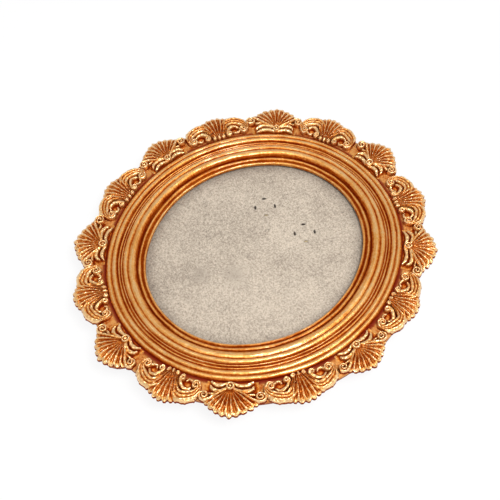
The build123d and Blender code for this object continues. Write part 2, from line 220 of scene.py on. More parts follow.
class GildingColours(bpy.types.PropertyGroup):
    """Colours of the gilding, from rubbed crests down to the red clay under it."""

    rubbed: colour("#F4C888", "Rubbed gold", "Gold on the crests, where it is rubbed bright")
    gold: colour("#E19C44", "Gold", "Gold on the open slopes")
    deep: colour("#AE5410", "Deep gold", "Gold on the way down into the hollows")
    # Bole is also the painted shade on the moulding's outer wall, the flange beside it and the lower
    # outer edges of the flange and the carving
    bole_and_shade: colour("#7A1E04", "Bole", "Red clay that shows in the hollows")
    ground: colour("#D09452", "Ground gold", "Dull gold of the flat ground behind the ornaments")


class BoardColours(bpy.types.PropertyGroup):
    """Colours of the backing board and the fittings behind it."""

    pale: colour("#D2C3B0", "Pale pulp", "Lighter patches of the greyboard")
    grey: colour("#7A6C5E", "Grey pulp", "Darker patches of the greyboard")
    # The speck colour also paints the shade under the lip and in the prongs' slits
    speck_and_shade: colour("#20160F", "Speck", "Dark flecks in the pulp")
    steel: colour("#C4B288", "Brass plating", "Pale brass plating of the steel fittings")
    scuffed: colour("#8F7C55", "Scuffed brass", "Duller brass in the scuffs")
    rust: colour("#2A1D14", "Rust", "Black-brown rust on the cut ends of the prongs")
    red_rust: colour("#5A3A22", "Red rust", "Reddish spots in the rust")
    sheet: colour("#8C918E", "Clear sheet", "Faint tint of the clear sheet")


class CarvingSizes(bpy.types.PropertyGroup):
    """Sizes of the carving that a user may change."""

    waver: length(0.10, "Waver", "How far the casting wanders from a true line")
    edge: length(0.18, "Edge rounding", "Rounding of the edges of the fittings")


class StageLooks(bpy.types.PropertyGroup):
    """Light levels and whites of the studio."""

    key: FloatProperty(
        name="Key light",
        description="Power of the soft lamp on the right",
        default=3.0,
        subtype="POWER",
        unit="POWER",
    )
    fill: FloatProperty(
        name="World light",
        description="Level of the even light overhead",
        default=0.6,
        min=0,
        max=1,
        subtype="FACTOR",
    )
    rim: FloatProperty(
        name="Low light",
        description="Level of the even light near the horizon",
        default=0.92,
        min=0,
        max=1,
        subtype="FACTOR",
    )
    paper: colour("#F2F2F2", "Paper", "Floor as it lights the frame and takes its shadow")
    white: colour("#FFFFFF", "White", "Floor as it is seen, and the light of the world")


class FrameSettings(bpy.types.PropertyGroup):
    """All the settings of the frame."""

    gilding: PointerProperty(type=GildingColours)
    board: PointerProperty(type=BoardColours)
    carving: PointerProperty(type=CarvingSizes)
    stage: PointerProperty(type=StageLooks)


def settings():
    return bpy.context.scene.oval_frame


# Places on the oval


def oval_xy(angle, offset):
    """Places at an offset outside the sight edge, by the direction that the edge faces there."""
    angle = np.mod(np.asarray(angle, float) + JOIN, 2 * math.pi) - JOIN
    x, y = np.zeros_like(angle), np.zeros_like(angle)
    for cx, cy, radius, start, end in ARCS:
        here = (angle >= start) & (angle <= end)
        x = np.where(here, cx + (radius + offset) * np.cos(angle), x)
        y = np.where(here, cy + (radius + offset) * np.sin(angle), y)
    return x, y


def oval_place(x, y):
    """Directions and offsets of points, the reverse of oval_xy."""
    angle, offset = np.full_like(x, np.nan), np.zeros_like(x)
    for cx, cy, radius, start, end in ARCS:
        turn = np.mod(np.arctan2(y - cy, x - cx) + JOIN + NEAR, 2 * math.pi) - JOIN - NEAR
        here = np.isnan(angle) & (turn >= start - NEAR) & (turn <= end + NEAR)
        angle = np.where(here, turn, angle)
        offset = np.where(here, np.hypot(x - cx, y - cy) - radius, offset)
    return angle, offset


def wander(x, y, seed):
    """A slow smooth wander between -1 and 1, the same each time: three waves that cross."""
    return (
        np.sin(x + 0.6 * y + seed)
        + np.sin(1.3 * y - 0.8 * x + 2.1 * seed)
        + np.sin(1.7 * x + 1.1 * y + 3.7 * seed)
    ) / 3


def ornament_angle(index):
    """Direction that the oval faces at an ornament, in even steps round an ellipse at the tips."""
    step = math.pi / 2 + index * 2 * math.pi / ORNAMENTS
    tip = EDGE + PALMETTE_REACHES[0]
    return math.atan2((HALF_WIDTH + tip) * math.sin(step), (HALF_LENGTH + tip) * math.cos(step))


def ornament_size(index):
    """Width and reach of an ornament at its place on the oval."""
    kinds = ((PALMETTE_SHARE, PALMETTE_REACHES), (CARTOUCHE_SHARE, CARTOUCHE_REACHES))
    share, reaches = kinds[index % 2]
    sides = np.array([ornament_angle(index - 1), ornament_angle(index + 1)])
    x, y = oval_xy(sides, EDGE + FLANGE_REACH)
    pitch = math.hypot(x[1] - x[0], y[1] - y[0]) / 2
    end, side = reaches
    return share * pitch, side + (end - side) * math.sin(ornament_angle(index)) ** 2


def flange_reach(angle):
    """How far the flange reaches at directions: a plain band, with a lobe behind each ornament."""
    reach = np.full_like(angle, FLANGE_REACH + NOTCH_FILL)
    for index in range(ORNAMENTS):
        wide, tall = ornament_size(index)
        radius = LOBE_SHARES[index % 2] * wide
        centre = tall - LOBE_SHORT - radius
        x, y = oval_xy(angle, EDGE + centre)
        middle_x, middle_y = oval_xy(ornament_angle(index), EDGE + centre)
        across = np.hypot(x - middle_x, y - middle_y)
        lobe = centre + np.sqrt(np.clip(radius**2 - across**2, 0, None))
        reach = np.where(across < radius, np.maximum(reach, lobe), reach)
    return reach


# Carving, as heights above the flange over a flat drawing in millimetres


def smooth_path(rows, steps=8):
    """A smooth run through rows of x, y, half width and height."""
    rows = np.array(rows, float) * (1, 1, FULLNESS, 1)
    ends = np.vstack((2 * rows[0] - rows[1], rows, 2 * rows[-1] - rows[-2]))
    t = np.linspace(0, 1, steps, endpoint=False)[:, None]
    runs = [
        b + 0.5 * t * (c - a + t * (2 * a - 5 * b + 4 * c - d + t * (3 * b - a - 3 * c + d)))
        for a, b, c, d in zip(ends[:-3], ends[1:-2], ends[2:-1], ends[3:])
    ]
    return np.vstack(runs + [rows[-1:]])


def volute(x, y, start, turns, outer, inner, wide, tall, steps=32):
    """Rows of a coil that winds in to its eye; positive turns wind anticlockwise."""
    share = np.linspace(0, 1, steps)
    angle = math.radians(start) + share * turns * 2 * math.pi
    radius = outer + (inner - outer) * share
    return np.column_stack((
        x + radius * np.cos(angle),
        y + radius * np.sin(angle),
        wide * (1 - 0.3 * share),
        tall * (1 + 0.2 * share),
    ))


def ridge(height, x, y, path, furrow=0.0):
    """Raises a rounded ridge along a path, with a furrow along its crest as a share of its height."""
    for (x0, y0, w0, h0), (x1, y1, w1, h1) in zip(path[:-1], path[1:]):
        dx, dy = x1 - x0, y1 - y0
        reach = max(w0, w1) + max(abs(dx), abs(dy))
        near = (np.abs(x - x0) < reach) & (np.abs(y - y0) < reach)
        px, py = x[near] - x0, y[near] - y0
        t = np.clip((px * dx + py * dy) / max(dx * dx + dy * dy, NEAR), 0, 1)
        away = np.hypot(px - dx * t, py - dy * t) / (w0 + (w1 - w0) * t)
        crown = 0.35 + 0.65 * np.sqrt(np.clip(1 - away**2, 0, None))
        crown -= furrow * np.exp(-((away / 0.3) ** 2))
        raised = np.where(away < 1, (h0 + (h1 - h0) * t) * crown, SUNK)
        height[near] = np.maximum(height[near], raised)


def beside(path, aside, wide):
    """A thinner path along one side of a path, aside by a share of its half width."""
    step = np.gradient(path[:, :2], axis=0)
    step /= np.hypot(step[:, 0], step[:, 1])[:, None]
    moved = path.copy()
    moved[:, 0] -= step[:, 1] * aside * path[:, 2]
    moved[:, 1] += step[:, 0] * aside * path[:, 2]
    moved[:, 2] *= wide
    return moved


def flutes_between(phase, sharp):
    """Round crests with flutes between: 0 at each whole number of phase, 1 on the crests."""
    return (0.5 - 0.5 * np.cos(2 * math.pi * phase)) ** sharp


def fan(height, x, y, centre, pitch, flutes, rim, crown, depth):
    """Raises a fan of veined flutes with scalloped ends.

    The rim and the depth of the flutes go by angle, the crown by share of the radius.
    """
    turn = np.degrees(np.arctan2(x, y - centre))
    scalloped = np.interp(turn, *rim) - 0.65 * flutes_between(turn / pitch, 2.0)
    along = np.hypot(x, y - centre) / scalloped
    fade = np.interp(along, (0.0, 0.25, 0.5, 0.85, 1.0), (0.3, 0.7, 1.0, 1.0, 0.4))
    away = np.abs(turn / pitch - np.rint(turn / pitch))
    vein = 0.45 * np.exp(-((away / 0.11) ** 2))
    sunk = np.interp(turn, *depth) * fade * (1 - flutes_between(turn / pitch, 1.8) - vein)
    raised = np.interp(along, *crown) - sunk
    inside = (along < 1) & (turn < pitch * flutes / 2) & (y > 0.9)
    height[inside] = np.maximum(height, raised)[inside]


def palmette_height(u, v):
    """A fan of nine flutes over a ringed boss, with a volute and two tendrils each side."""
    x, y = np.abs(u), v
    boss = 1.9
    height = np.where((x < 8.2) & (y > 0.3) & (y < 6.0), 0.15, SUNK)
    rim = ((0, 4, 12, 25, 37, 50, 56), (10.5, 10.2, 10.0, 9.8, 9.8, 9.9, 9.7))
    crown = ((0.0, 0.15, 0.4, 0.68, 0.9, 1.0), (1.7, 1.7, 2.0, 2.35, 1.9, 1.2))
    fan(height, x, y, boss, 12.4, 9, rim, crown, ((0, 60), (0.75, 0.95)))
    side = smooth_path((
        (1.5, 2.9, 0.42, 1.8),
        (4.4, 5.0, 0.5, 2.0),
        (6.4, 6.7, 0.52, 2.1),
        (7.6, 7.3, 0.5, 2.1),
    ))
    ridge(height, x, y, side)
    ridge(height, x, y, volute(8.2, 5.85, 115, -1.6, 1.6, 0.3, 0.5, 2.0))
    inner = smooth_path(((2.6, 3.2, 0.3, 1.3), (4.8, 4.7, 0.4, 1.5), (6.6, 4.9, 0.4, 1.4)))
    ridge(height, x, y, inner)
    upper = smooth_path((
        (1.0, 2.4, 0.36, 1.7),
        (2.8, 3.4, 0.56, 1.8),
        (4.6, 3.7, 0.66, 1.7),
        (6.2, 3.0, 0.5, 1.5),
        (6.7, 2.2, 0.3, 1.4),
    ))
    ridge(height, x, y, upper, furrow=0.15)
    lower = smooth_path((
        (0.8, 0.8, 0.36, 1.6),
        (2.8, 1.6, 0.54, 1.6),
        (4.9, 1.6, 0.58, 1.5),
        (6.7, 0.7, 0.3, 1.3),
    ))
    ridge(height, x, y, lower, furrow=0.15)
    away = np.hypot(x, y - boss)
    from_ring = np.abs(away - 1.05) / 0.4
    ring = 1.45 + 0.8 * np.sqrt(np.clip(1 - from_ring**2, 0, None))
    height = np.where(from_ring < 1, np.maximum(height, ring), height)
    dome = 1.4 + 0.85 * np.sqrt(np.clip(1 - (away / 0.65) ** 2, 0, None))
    return np.where(away < 0.56, dome, height)


def cartouche_height(u, v):
    """A narrow fluted fan between two leafy scrolls, each with a smaller scroll inside it."""
    x, y = np.abs(u), v
    height = np.where((x < 11.2) & (y > 1.4) & (y < 7.2), 0.15, SUNK)
    shoulder = smooth_path((
        (3.6, 7.2, 0.7, 1.7),
        (5.4, 8.4, 0.9, 1.7),
        (7.4, 8.3, 1.0, 1.6),
        (9.6, 7.3, 1.0, 1.6),
        (11.2, 5.7, 0.9, 1.5),
        (11.8, 4.6, 0.5, 1.4),
    ))
    ridge(height, x, y, shoulder * (1, 1, 1, 0.7))
    for aside in (-0.1, 0.3, 0.68):
        ridge(height, x, y, beside(shoulder, aside, 0.28) + (0, 0, 0, 0.1))
    for at_x, at_y, size in ((5.0, 9.0, 0.9), (8.0, 8.7, 0.8), (10.6, 7.4, 0.7)):
        tip = smooth_path((
            (at_x - 1.2, at_y - 2.2, 0.5, 2.0),
            (at_x - 0.3, at_y - 0.6, size, 2.0),
            (at_x + 0.2, at_y + 0.3, 0.5 * size, 1.5),
        ))
        ridge(height, x, y, tip, furrow=0.35)
    leaf = smooth_path((
        (2.4, 4.2, 0.7, 1.6),
        (3.5, 6.4, 1.2, 1.9),
        (5.6, 7.6, 1.45, 2.0),
        (8.3, 7.0, 1.45, 2.0),
        (10.6, 5.6, 1.15, 1.9),
        (11.5, 4.0, 0.75, 1.9),
        (11.4, 2.8, 0.56, 1.8),
    ))
    ridge(height, x, y, leaf * (1, 1, 1, 0.85))
    for aside in (-0.62, 0.0, 0.62):
        ridge(height, x, y, beside(leaf, aside, 0.42) + (0, 0, 0, 0.1))
    ridge(height, x, y, volute(10.05, 2.9, 0, -1.6, 1.45, 0.3, 0.54, 1.9))
    rim = ((0, 8, 16, 24, 30), (13.8, 13.7, 13.4, 12.9, 12.2))
    crown = ((0.0, 0.27, 0.45, 0.72, 0.92, 1.0), (1.6, 1.6, 2.1, 2.5, 2.0, 1.2))
    fan(height, x, y, -2.4, 8.6, 7, rim, crown, ((0, 12, 24), (0.75, 0.85, 1.2)))
    inner = smooth_path((
        (8.4, 4.2, 0.36, 1.3),
        (7.2, 5.1, 0.5, 1.6),
        (5.8, 4.9, 0.58, 1.8),
        (4.7, 4.0, 0.6, 1.9),
        (3.9, 2.8, 0.58, 1.9),
        (3.6, 2.0, 0.5, 1.8),
    ))
    ridge(height, x, y, inner, furrow=0.1)
    ridge(height, x, y, volute(4.5, 1.8, 165, 1.3, 0.95, 0.28, 0.5, 1.8))
    hook = smooth_path((
        (8.9, 3.0, 0.36, 1.3),
        (8.2, 2.0, 0.42, 1.4),
        (6.9, 1.7, 0.36, 1.2),
        (6.3, 2.4, 0.32, 1.1),
    ))
    ridge(height, x, y, hook)
    ridge(height, x, y, volute(1.8, 1.0, 60, -1.2, 0.62, 0.2, 0.42, 1.7))
    ridge(height, x, y, ((0.0, 0.6, 0.6, 1.9), (0.0, 1.2, 0.6, 2.1)))
    return height


def between(net, row, column):
    """Values of a net at places between its points."""
    j = np.clip(np.floor(row).astype(int), 0, net.shape[0] - 2)
    i = np.clip(np.floor(column).astype(int), 0, net.shape[1] - 2)
    t, s = row - j, column - i
    near = net[j, i] * (1 - s) + net[j, i + 1] * s
    far = net[j + 1, i] * (1 - s) + net[j + 1, i + 1] * s
    return near * (1 - t) + far * t


def draw_carving(height_of, half, tall):
    """Rows and columns of a carving: places, heights and how deep each point lies in a hollow, with
    painted shade along the outer rim.
    """
    across = np.arange(-half - MARGIN, half + MARGIN, NET)
    along = np.arange(FOOT, tall + MARGIN, NET)
    net = height_of(*np.meshgrid(across, along))
    level, around = np.maximum(net, 0), np.zeros_like(net)
    steps = [(reach / NET, turn * math.pi / 4) for reach in HOLLOW_REACHES for turn in range(8)]
    for reach, turn in steps:
        shift = (round(reach * math.sin(turn)), round(reach * math.cos(turn)))
        around += np.roll(level, shift, axis=(0, 1)) / len(steps)
    hollow = np.clip(SLOPE_WASH + (around - level) / FULL_HOLLOW, 0, 1)
    solid = net > 0
    last = len(along) - 1 - np.argmax(solid[::-1], axis=0)
    top = np.where(solid.any(axis=0), along[last], BARE_REACH)
    u = np.linspace(across[0], across[-1], int(2 * half / CELL))
    share = np.linspace(0, 1, int(tall / CELL))[:, None]
    v = FOOT + (np.interp(u, across, top) - FOOT) * share
    u = np.broadcast_to(u, v.shape)
    row, column = (v - FOOT) / NET, (u - across[0]) / NET
    depth = between(hollow, row, column)
    # Painted shade along the outer rim of the carving
    depth[-1] = np.maximum(depth[-1], PAINTED_RIM_SHADE)
    return u, v, between(net, row, column), depth


def carve(bm, carving, index, half, tall):
    """Lays a carving on the flange at its place, bent to the oval, and closes it underneath."""
    rows, columns = carving[0].shape
    hollow = bm.verts.layers.float.new("wash_and_shade")
    bmesh.ops.create_grid(bm, x_segments=columns - 1, y_segments=rows - 1, size=1)
    flat = np.array([vert.co for vert in bm.verts])
    i = np.rint((flat[:, 0] + 1) / 2 * (columns - 1)).astype(int)
    j = np.rint((flat[:, 1] + 1) / 2 * (rows - 1)).astype(int)
    u, v, height, wash_and_shade = (part[j, i] for part in carving)
    wide, reach = ornament_size(index)
    middle = ornament_angle(index)
    radius = END_RADIUS if abs(math.sin(middle)) > math.sin(JOIN) else SIDE_RADIUS
    waver = settings().carving.waver / MM
    calm = np.clip(np.minimum(v, tall - v), 0, 1)
    drawn_u = u + waver * (wander(u, v, index) + wander(2.2 * u, 2.2 * v, index + 3))
    along = wander(v, u, index + 5) + wander(2.2 * v, 2.2 * u, index + 7)
    drawn_v = np.minimum(v + waver * calm * along, tall)
    lumps = 0.6 * wander(v, -u, index + 9) + 1.1 * wander(3 * v, -3 * u, index + 11)
    drawn_z = height + waver * lumps * np.clip(height, 0, 1)
    angle = middle - drawn_u * wide / 2 / half / (radius + EDGE + reach / 2)
    x, y = oval_xy(angle, EDGE + drawn_v * reach / tall)
    for vert, px, py, pz, depth in zip(bm.verts, x, y, drawn_z, wash_and_shade):
        vert.co = (px, py, FLANGE_FRONT + pz)
        vert[hollow] = depth
    rim = [edge for edge in bm.edges if edge.is_boundary]
    skirt = bmesh.ops.extrude_edge_only(bm, edges=rim)["geom"]
    # The skirt under the carving's edge is painted fully dark, as painted shade
    for vert in (part for part in skirt if isinstance(part, bmesh.types.BMVert)):
        vert.co.z = FLANGE_FRONT + SUNK
        vert[hollow] = 1.0
    sides = (part for part in skirt if isinstance(part, bmesh.types.BMEdge))
    underside = [edge for edge in sides if edge.is_boundary]
    bmesh.ops.contextual_create(bm, geom=underside)
    bmesh.ops.recalc_face_normals(bm, faces=bm.faces)


# Pieces


def finish_piece(bm, name, body, nodes, materials, sharp=50):
    """Makes the drawing a piece in metres, which rides on a body and stands for CAD nodes."""
    bmesh.ops.scale(bm, vec=(MM, MM, MM), verts=bm.verts)
    mesh = bpy.data.meshes.new(name)
    bm.to_mesh(mesh)
    bm.free()
    mesh.shade_smooth()
    mesh.set_sharp_from_angle(angle=math.radians(sharp))
    for material in materials:
        mesh.materials.append(material)
    piece = bpy.data.objects.new(name, mesh)
    bpy.context.scene.collection.objects.link(piece)
    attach(piece, body)
    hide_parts(*nodes)
    return piece


def cut_slots(bm):
    """Cuts a straight slot across the end of each screw head, each turned another way."""
    lowest = min(vert.co.z for vert in bm.verts)
    downward = (face for face in bm.faces if face.normal.z < -0.99)
    ends = [face for face in downward if face.calc_center_median().z < lowest + HAIR]
    for turn, end in enumerate(ends):
        middle = end.calc_center_median()
        across = Vector((math.cos(turn), math.sin(turn), 0))
        parts = [end]
        for side in (-1, 1):
            edges = {edge for part in parts for edge in part.edges}
            verts = {vert for part in parts for vert in part.verts}
            made = bmesh.ops.bisect_plane(
                bm,
                geom=[*parts, *edges, *verts],
                dist=NEAR,
                plane_co=middle + across * side * SCREW_SLOT_WIDE / 2,
                plane_no=across,
            )
            parts = [part for part in made["geom"] if isinstance(part, bmesh.types.BMFace)]
        strip = min(parts, key=lambda part: (part.calc_center_median() - middle).length)
        floor = bmesh.ops.extrude_discrete_faces(bm, faces=[strip])["faces"]
        bmesh.ops.translate(bm, vec=(0, 0, SCREW_SLOT_DEEP), verts=floor[0].verts)


def soften(node, name, body, material, width=None, slotted=False):
    """A copy of a CAD node with its sharp edges rounded, which then stands for that node."""
    bm = bmesh.new()
    bm.from_mesh(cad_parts[node].data)
    bmesh.ops.scale(bm, vec=(1 / MM,) * 3, verts=bm.verts)
    bmesh.ops.remove_doubles(bm, verts=bm.verts, dist=0.002)
    bmesh.ops.dissolve_limit(bm, angle_limit=math.radians(1), verts=bm.verts, edges=bm.edges)
    turn = math.radians(SHARP_TURN)
    sharp = [edge for edge in bm.edges if edge.is_manifold and edge.calc_face_angle() > turn]
    bmesh.ops.bevel(
        bm,
        geom=sharp,
        offset=width or settings().carving.edge / MM,
        affect="EDGES",
        segments=2,
        profile=0.5,
        material=-1,
        clamp_overlap=True,
    )
    if slotted:
        cut_slots(bm)
    return finish_piece(bm, name, body, [node], [material], sharp=SHARP_TURN)


def draw_section(bm):
    """Draws the closed section of the moulding and its flange, at the drawing's own X and Z."""
    pen = first = bm.verts.new((0, 0, LIP_BACK))

    def run(pen, x, z):
        made = bmesh.ops.extrude_vert_indiv(bm, verts=[pen])["verts"][0]
        made.co = (x, 0, z)
        return made

    for marks in FRONT:
        if len(marks) == 1:
            pen = run(pen, *marks[0])
            continue
        (x0, z0), (x1, z1), (x2, z2) = (pen.co.x, pen.co.z), *marks
        turn = 2 * (x0 * (z1 - z2) + x1 * (z2 - z0) + x2 * (z0 - z1))
        squares = [x * x + z * z for x, z in ((x0, z0), (x1, z1), (x2, z2))]
        cx = (squares[0] * (z1 - z2) + squares[1] * (z2 - z0) + squares[2] * (z0 - z1)) / turn
        cz = (squares[0] * (x2 - x1) + squares[1] * (x0 - x2) + squares[2] * (x1 - x0)) / turn
        sweep = (math.atan2(z0 - cz, x0 - cx) - math.atan2(z2 - cz, x2 - cx)) % (2 * math.pi)
        steps = max(6, int(sweep * math.hypot(x0 - cx, z0 - cz) / SECTION_STEP))
        made = bmesh.ops.spin(
            bm, geom=[pen], cent=(cx, 0, cz), axis=(0, 1, 0), angle=sweep, steps=steps
        )
        pen = next(part for part in made["geom_last"] if isinstance(part, bmesh.types.BMVert))
    outline = (
        (EDGE, FLANGE_FRONT),
        (EDGE + FLANGE_REACH - FLANGE_ROUND, FLANGE_FRONT),
        (EDGE + FLANGE_REACH, FLANGE_FRONT - FLANGE_ROUND),
        (EDGE + FLANGE_REACH, FLANGE_BACK + FLANGE_ROUND),
        (EDGE + FLANGE_REACH - FLANGE_ROUND, FLANGE_BACK),
        (EDGE, FLANGE_BACK),
        (EDGE, BACK + FLANGE_ROUND),
        (EDGE - FLANGE_ROUND, BACK),
        (LIP, BACK),
        (LIP, LIP_BACK),
    )
    for x, z in outline:
        pen = run(pen, x, z)
    bm.edges.new((pen, first))


def grow_moulding(bm):
    """Spins the section round the four arcs, wavers it and pushes the flange out into lobes."""
    hollow = bm.verts.layers.float.new("wash_and_shade")
    grain = bm.verts.layers.float_vector.new("grain")
    draw_section(bm)
    front = [
        edge for edge in bm.edges if all(v.co.z > WAVERED_ABOVE and v.co.x < EDGE for v in edge.verts)
    ]
    long = [edge for edge in front if edge.calc_length() > LONGEST_RUN]
    bmesh.ops.subdivide_edges(bm, edges=long, cuts=2)
    flat = [edge for edge in bm.edges if all(abs(v.co.z - FLANGE_FRONT) < 0.01 for v in edge.verts)]
    bmesh.ops.subdivide_edges(bm, edges=flat, cuts=7)
    profile = [v for v in bm.verts if v.co.z > SMOOTHED_ABOVE and HAIR < v.co.x < EDGE - HAIR]
    for _ in range(2):
        bmesh.ops.smooth_vert(bm, verts=profile, factor=0.5, use_axis_x=True, use_axis_z=True)
    for vert in bm.verts:
        # The lower outer edge of the flange is painted fully dark, as painted shade under it
        if vert.co.x > EDGE + FLANGE_REACH - 0.4 and vert.co.z < FLANGE_FRONT - 0.4:
            vert[hollow] = 1.0
        elif vert.co.z > LIP_BACK - 0.1:
            vert[hollow] = np.interp(vert.co.x, *zip(*WEAR))
    turn = Matrix.Rotation(-JOIN, 4, "Z")
    start = turn @ Vector((SIDE_RADIUS, 0, 0)) + Vector((-SIDE_CENTRE, 0, 0))
    bmesh.ops.transform(bm, matrix=Matrix.Translation(start) @ turn, verts=bm.verts)
    ring = bm.verts[:] + bm.edges[:]
    for cx, cy, radius, begin, end in ARCS:
        steps = round((radius + EDGE) * (end - begin) / OVAL_STEP)
        made = bmesh.ops.spin(
            bm, geom=ring, cent=(cx, cy, 0), axis=(0, 0, 1), angle=end - begin, steps=steps
        )
        ring = made["geom_last"]
    bmesh.ops.remove_doubles(bm, verts=bm.verts, dist=0.001)
    waver = settings().carving.waver / MM
    place = np.array([vert.co for vert in bm.verts])
    angle, offset = oval_place(place[:, 0], place[:, 1])
    beyond = np.clip(offset - EDGE, 0, None)
    offset = np.where(beyond > HAIR, EDGE + beyond * flange_reach(angle) / FLANGE_REACH, offset)
    loose = (place[:, 2] > WAVERED_ABOVE) & (offset > HAIR)
    ahead, aside = np.cos(angle), np.sin(angle)
    drift = wander(8 * ahead + offset / 2, 8 * aside, 1)
    drift += 0.6 * wander(30 * ahead + 2 * offset, 30 * aside, 3)
    rise = wander(7 * ahead + offset / 3, 7 * aside, 2)
    rise += wander(26 * ahead + 2 * offset, 26 * aside, 4)
    turned = np.where(loose & (offset < EDGE - 0.2), waver * drift, 0)
    level = place[:, 2] + np.where(loose, 0.6 * waver * rise, 0)
    placed = np.column_stack((*oval_xy(angle, offset + turned), level))
    brushed = np.column_stack((GRAIN_ROUND * ahead, GRAIN_ROUND * aside, GRAIN_ACROSS * offset))
    for vert, spot, streak in zip(bm.verts, placed, brushed):
        vert.co = spot
        vert[grain] = streak
    bmesh.ops.recalc_face_normals(bm, faces=bm.faces)


# Materials


def add(tree, kind, values=None, links=None, **choices):
    """Adds a node, makes its choices, sets its sockets and links them."""
    node = tree.nodes.new("ShaderNode" + kind)
    for name, choice in choices.items():
        setattr(node, name, choice)
    for socket, value in (values or {}).items():
        node.inputs[socket].default_value = value
    for socket, (source, output) in (links or {}).items():
        tree.links.new(source.outputs[output], node.inputs[socket])
    return node


def new_material(name):
    material = bpy.data.materials.new(name)
    material.use_nodes = True
    material.node_tree.nodes.clear()
    return material, material.node_tree


def set_ends(ramp, *ends):
    """Sets the two ends of a colour ramp, each a position and a colour."""
    for stop, (position, shade) in zip(ramp.color_ramp.elements, ends):
        stop.position, stop.color = position, shade


def show(material, shader):
    """Makes a shader the surface of its material."""
    add(material.node_tree, "OutputMaterial", {}, {"Surface": (shader, 0)})
    return material


def per(millimetres):
    """Texture scale at which a pattern repeats about once in so many millimetres."""
    return 1 / (millimetres * MM)


def gilt(name, streaks):
    """Gilding over red clay on cast resin, satin: crests rubbed bright, red in the hollows.

    The coat is the lacquer, which lies on the crests. The moulding also has the streaks of a brush.
    """
    tone = settings().gilding
    material, tree = new_material(name)
    place = {"Vector": (add(tree, "TexCoord"), "Object")}
    hollow = add(tree, "Attribute", attribute_name="wash_and_shade")
    mottle = add(tree, "TexNoise", {"Scale": per(0.9), "Detail": 5.0, "Roughness": 0.65}, place)
    patch = add(tree, "TexNoise", {"Scale": per(9.0), "Detail": 2.0}, place)
    patchy = 0.6 if streaks else 1.0
    worn = add(tree, "Math", {1: patchy, 2: -patchy / 2}, {0: (mottle, 0)}, operation="MULTIPLY_ADD")
    deep = add(tree, "Math", {}, {0: (hollow, "Fac"), 1: (worn, 0)}, operation="ADD")
    broad = add(tree, "Math", {1: 0.35, 2: -0.175}, {0: (patch, 0)}, operation="MULTIPLY_ADD")
    depth = add(tree, "Math", {}, {0: (deep, 0), 1: (broad, 0)}, operation="ADD")
    pitted = (0.18 if streaks else 0.32) * MM
    bump = add(tree, "Bump", {"Strength": 0.6, "Distance": pitted}, {"Height": (mottle, 0)})
    if streaks:
        grain = add(tree, "Attribute", attribute_name="grain")
        brush = {"Scale": GRAIN_SCALE, "Detail": 4.0, "Roughness": 0.7}
        streak = add(tree, "TexNoise", brush, {"Vector": (grain, "Vector")})
        brushed = add(tree, "Math", {1: 0.9, 2: -0.45}, {0: (streak, 0)}, operation="MULTIPLY_ADD")
        depth = add(tree, "Math", {}, {0: (depth, 0), 1: (brushed, 0)}, operation="ADD")
        scratched = {"Height": (streak, 0), "Normal": (bump, 0)}
        bump = add(tree, "Bump", {"Strength": 0.5, "Distance": 0.15 * MM}, scratched)
    ramp = add(tree, "ValToRGB", {}, {0: (depth, 0)})
    set_ends(ramp, (0.12, tone.rubbed), (0.95, tone.bole_and_shade))
    for position, shade in ((0.42, tone.gold), (0.70, tone.deep)):
        ramp.color_ramp.elements.new(position).color = shade
    metal = add(tree, "MapRange", {1: 0.35, 2: 0.95, 3: 0.90, 4: 0.45}, {0: (depth, 0)})
    rough = add(tree, "MapRange", {1: 0.1, 2: 0.9, 3: 0.33, 4: 0.60}, {0: (depth, 0)})
    shine = add(tree, "MapRange", {1: 0.2, 2: 0.7, 3: 1.0, 4: 0.0}, {0: (depth, 0)})
    links = {
        "Base Color": (ramp, 0),
        "Metallic": (metal, 0),
        "Roughness": (rough, 0),
        "Normal": (bump, 0),
        "Coat Weight": (shine, 0),
        "Specular IOR Level": (shine, 0),
    }
    shader = add(tree, "BsdfPrincipled", {"Coat Roughness": 0.12, "Coat IOR": 1.7}, links)
    return show(material, shader)


def gilt_ground():
    """Bronze paint on the flat of the casting: duller than the gilding, with wash pooled at the wall
    and painted shade of the wall, and painted shade on the flange's lower outer edge.
    """
    tone = settings().gilding
    material, tree = new_material("bronze_paint_ground")
    place = {"Vector": (add(tree, "TexCoord"), "Object")}
    cloud = add(tree, "TexNoise", {"Scale": per(1.2), "Detail": 4.0, "Roughness": 0.6}, place)
    ramp = add(tree, "ValToRGB", {}, {0: (cloud, 0)})
    set_ends(ramp, (0.34, tone.deep), (0.56, tone.ground))
    hollow = add(tree, "Attribute", attribute_name="wash_and_shade")
    # Bole on the wall and the flange beside it: wash pooled there and painted shade of the wall, and
    # painted shade on the flange's lower outer edge
    pooled_wash_and_shade = add(tree, "MapRange", {1: 0.2, 2: 0.9, 3: 0.0, 4: 1.0}, {0: (hollow, "Fac")})
    ground_wash_and_shade = add(tree, "Mix", {7: tone.bole_and_shade}, {0: (pooled_wash_and_shade, 0), 6: (ramp, 0)}, data_type="RGBA")
    bump = add(tree, "Bump", {"Strength": 0.6, "Distance": 0.25 * MM}, {"Height": (cloud, 0)})
    shader = add(
        tree,
        "BsdfPrincipled",
        {"Metallic": 0.35, "Roughness": 0.55, "Specular IOR Level": 0.15},
        {"Base Color": (ground_wash_and_shade, 2), "Normal": (bump, 0)},
    )
    return show(material, shader)


def prong_tops():
    """Where the prongs of the rivets come through the board, by the corners of each prong's end."""
    level = (BOARD_FRONT - 0.2) * MM
    corners = [vert.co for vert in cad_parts["board_rivets"].data.vertices if vert.co.z > level]
    tops = []
    while corners:
        near = [corner for corner in corners if (corner - corners[0]).length < PRONG_WIDE]
        corners = [corner for corner in corners if corner not in near]
        tops.append(sum(near, Vector()) / len(near))
    return tops


